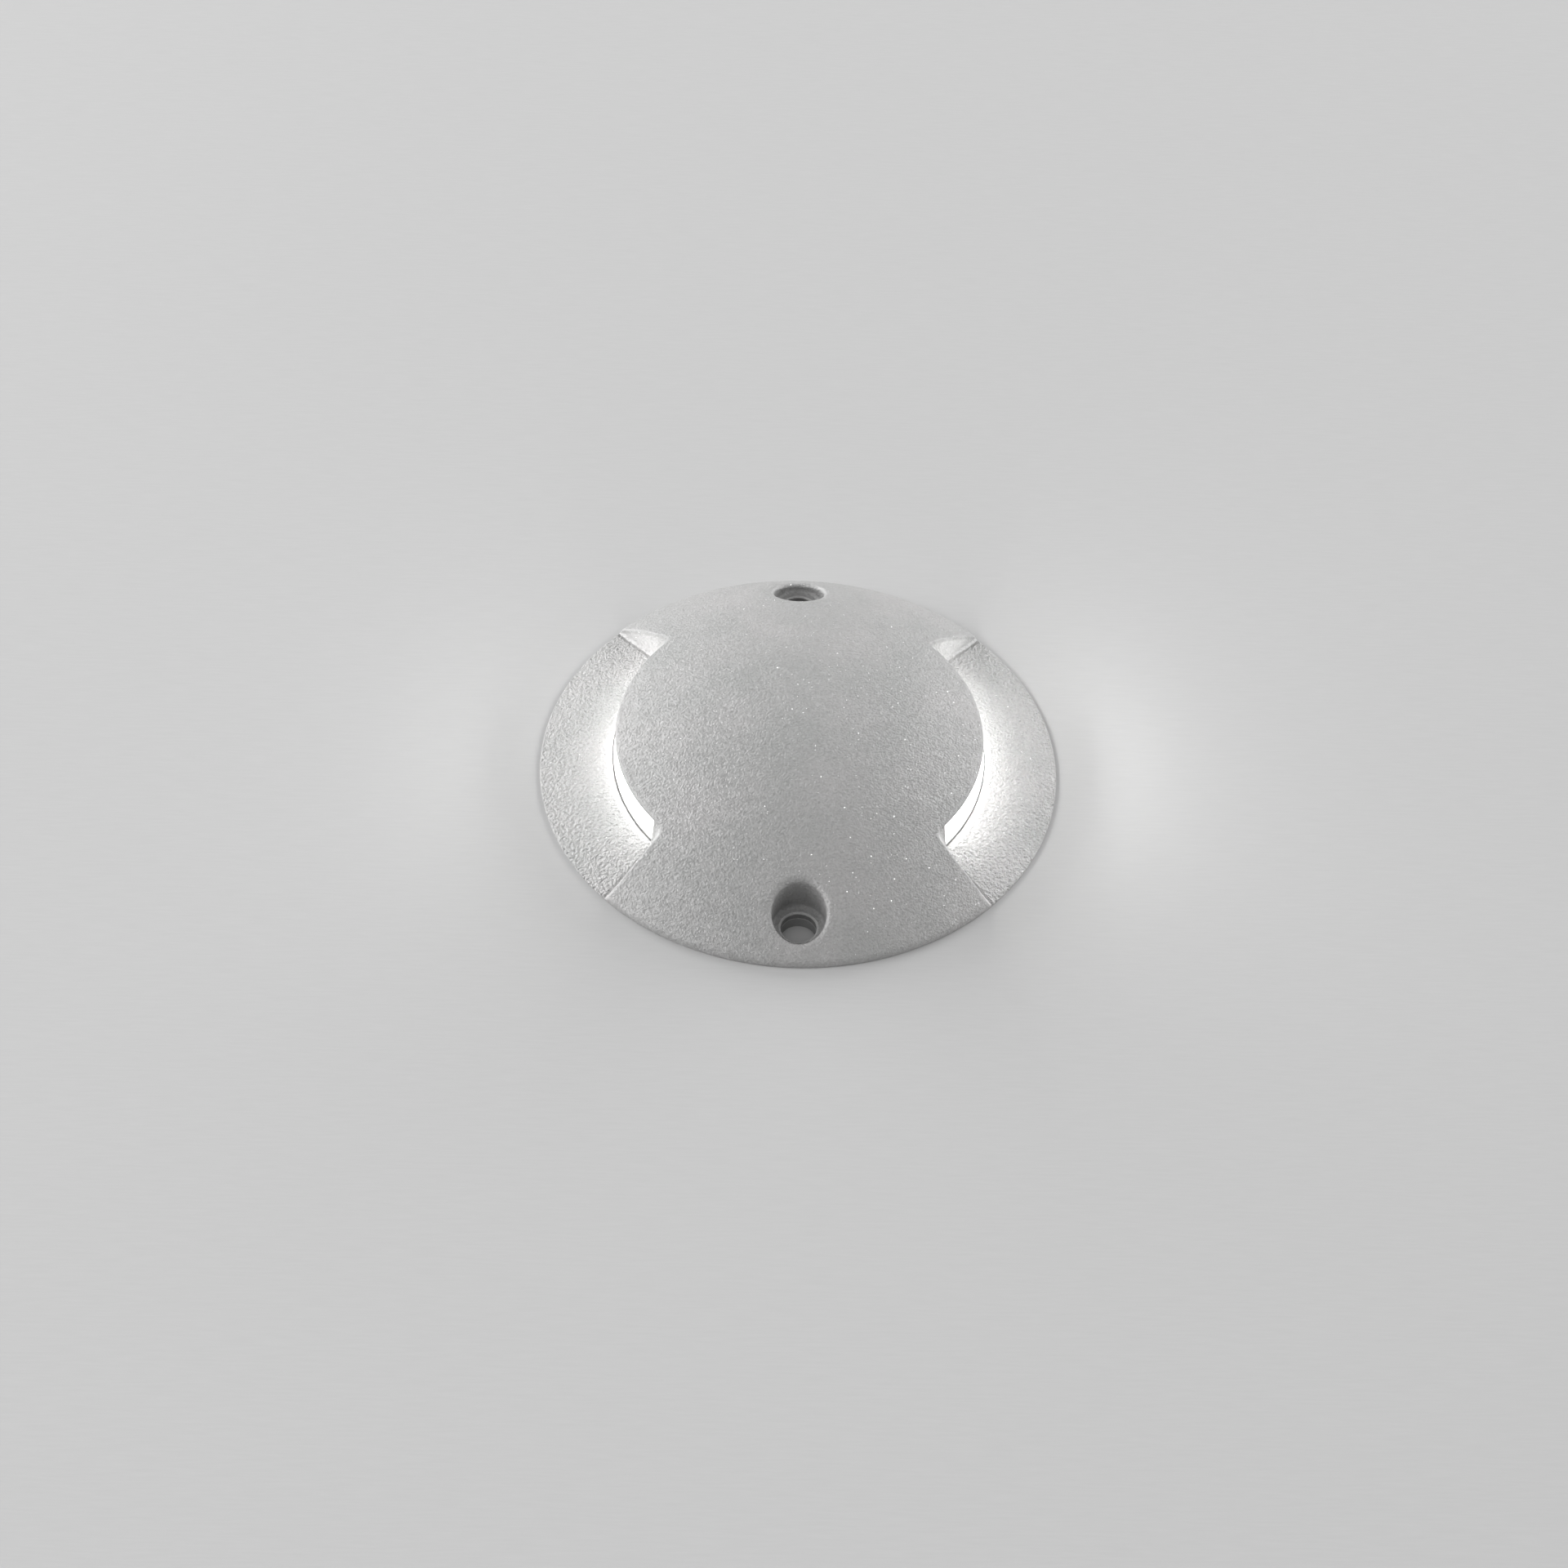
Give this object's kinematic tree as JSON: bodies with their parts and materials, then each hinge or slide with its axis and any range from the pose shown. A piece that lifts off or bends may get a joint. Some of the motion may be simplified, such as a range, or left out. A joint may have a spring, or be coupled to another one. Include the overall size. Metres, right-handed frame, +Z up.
{
  "type": "ground marker light",
  "caption": "Low round surface-mounted ground marker light: a die-cast dome with two sector cut-outs that hold frosted side windows, and counterbored holes for fixing screws.",
  "frame": {"origin": "centre of the flat underside, on the dome's axis", "axes": "+Z up through the crown; +X and -X through the middle of the two windows; +Y and -Y through the two fixing holes"},
  "size_m": [0.1, 0.1, 0.0172],
  "materials": {
    "cast_body": "fine-textured satin powder coat with metallic flake",
    "base_metal": "machined, lightly brushed",
    "seal_rubber": "matt moulded rubber",
    "screw_steel": "satin stainless steel",
    "gland_nylon": "moulded dark grey nylon",
    "frosted_window": "opal, lit from behind",
    "pale_silicone": "pale silicone",
    "carrier_metal": "milled",
    "white_board": "white solder mask",
    "led_case": "phosphor over a white case",
    "lead_sleeve": "flat two-core sleeve",
    "green_board": "green solder mask",
    "white_nylon": "natural nylon",
    "terminal_green": "moulded",
    "dark_ferrite": "ferrite",
    "can_metal": "drawn can",
    "black_epoxy": "moulded epoxy"
  },
  "bodies": {
    "root": {"cover": "cast_body", "base_plate": "base_metal", "base_seal": "seal_rubber", "base_screw_1": "screw_steel", "base_screw_2": "screw_steel", "base_screw_3": "screw_steel", "base_screw_4": "screw_steel", "gland_body": "gland_nylon", "gland_seal": "seal_rubber", "gland_nut": "gland_nylon", "diffuser_right": "frosted_window", "diffuser_left": "frosted_window", "diffuser_gasket_right": "pale_silicone", "diffuser_gasket_left": "pale_silicone", "led_carrier": "carrier_metal", "carrier_screw_1": "screw_steel", "carrier_screw_2": "screw_steel", "led_board_right": "white_board", "led_board_left": "white_board", "led_right_1": "led_case", "led_right_2": "led_case", "led_right_3": "led_case", "led_right_4": "led_case", "led_right_5": "led_case", "led_right_6": "led_case", "led_left_1": "led_case", "led_left_2": "led_case", "led_left_3": "led_case", "led_left_4": "led_case", "led_left_5": "led_case", "led_left_6": "led_case", "led_lead_right": "lead_sleeve", "led_lead_left": "lead_sleeve", "driver_board": "green_board", "board_spacer_1": "white_nylon", "board_spacer_2": "white_nylon", "board_spacer_3": "white_nylon", "board_spacer_4": "white_nylon", "board_screw_1": "screw_steel", "board_screw_2": "screw_steel", "board_screw_3": "screw_steel", "board_screw_4": "screw_steel", "terminal_block": "terminal_green", "terminal_screw_1": "screw_steel", "terminal_screw_2": "screw_steel", "driver_inductor": "dark_ferrite", "driver_capacitor": "can_metal", "driver_chip": "black_epoxy", "bridge_rectifier": "black_epoxy"}
  },
  "joints": []
}
